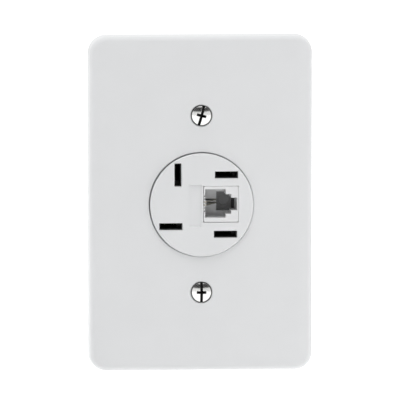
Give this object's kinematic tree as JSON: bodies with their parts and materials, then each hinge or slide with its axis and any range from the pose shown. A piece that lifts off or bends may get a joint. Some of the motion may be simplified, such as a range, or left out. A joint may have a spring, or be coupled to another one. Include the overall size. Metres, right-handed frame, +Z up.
{
  "type": "telephone wall socket",
  "caption": "Flush telephone wall socket: a rectangular cover plate with a round face that has flat blade slots and a modular jack, on a steel strap with screw terminals behind.",
  "frame": {"origin": "centre of the cover plate's outline, in the plane of the wall", "axes": "+Z up the wall, +Y into the wall, so the socket's face looks along -Y, +X to the right as seen from the room"},
  "size_m": [0.0762, 0.0227, 0.1142],
  "materials": {
    "white_plate": "moulded, semi-gloss, cool white",
    "white_housing": "moulded, semi-gloss, cool white",
    "white_jack": "moulded, semi-gloss, white",
    "black_moulding": "moulded, satin, black",
    "zinc_strap": "bright zinc plate on rolled steel",
    "nickel_screw": "nickel plate, bright",
    "nickel_rivet": "nickel plate, bright",
    "brass_strip": "rolled, bright",
    "terminal_screw": "nickel plate, satin",
    "zinc_clamp": "zinc plate, pressed",
    "gold_wire": "gold plate, bright",
    "red_lead": "extruded insulation, satin, red",
    "green_lead": "extruded insulation, satin, green",
    "copper_core": "bare drawn copper"
  },
  "bodies": {
    "root": {"wall_plate": "white_plate", "plate_screw_upper": "nickel_screw", "plate_screw_lower": "nickel_screw", "mounting_strap": "zinc_strap", "front_housing": "white_housing", "blade_guide": "black_moulding", "back_housing": "black_moulding", "rivet_left": "nickel_rivet", "rivet_right": "nickel_rivet", "contact_upper_left": "brass_strip", "contact_upper_right": "brass_strip", "contact_lower_left": "brass_strip", "contact_lower_right": "brass_strip", "terminal_screw_upper_left": "terminal_screw", "terminal_screw_upper_right": "terminal_screw", "terminal_screw_lower_left": "terminal_screw", "terminal_screw_lower_right": "terminal_screw", "wire_clamp_upper_left": "zinc_clamp", "wire_clamp_upper_right": "zinc_clamp", "wire_clamp_lower_left": "zinc_clamp", "wire_clamp_lower_right": "zinc_clamp", "jack_housing": "white_jack", "jack_back_cap": "black_moulding", "jack_wire_upper": "gold_wire", "jack_wire_lower": "gold_wire", "lead_upper": "red_lead", "lead_lower": "green_lead", "lead_core_upper": "copper_core", "lead_core_lower": "copper_core"}
  },
  "joints": []
}
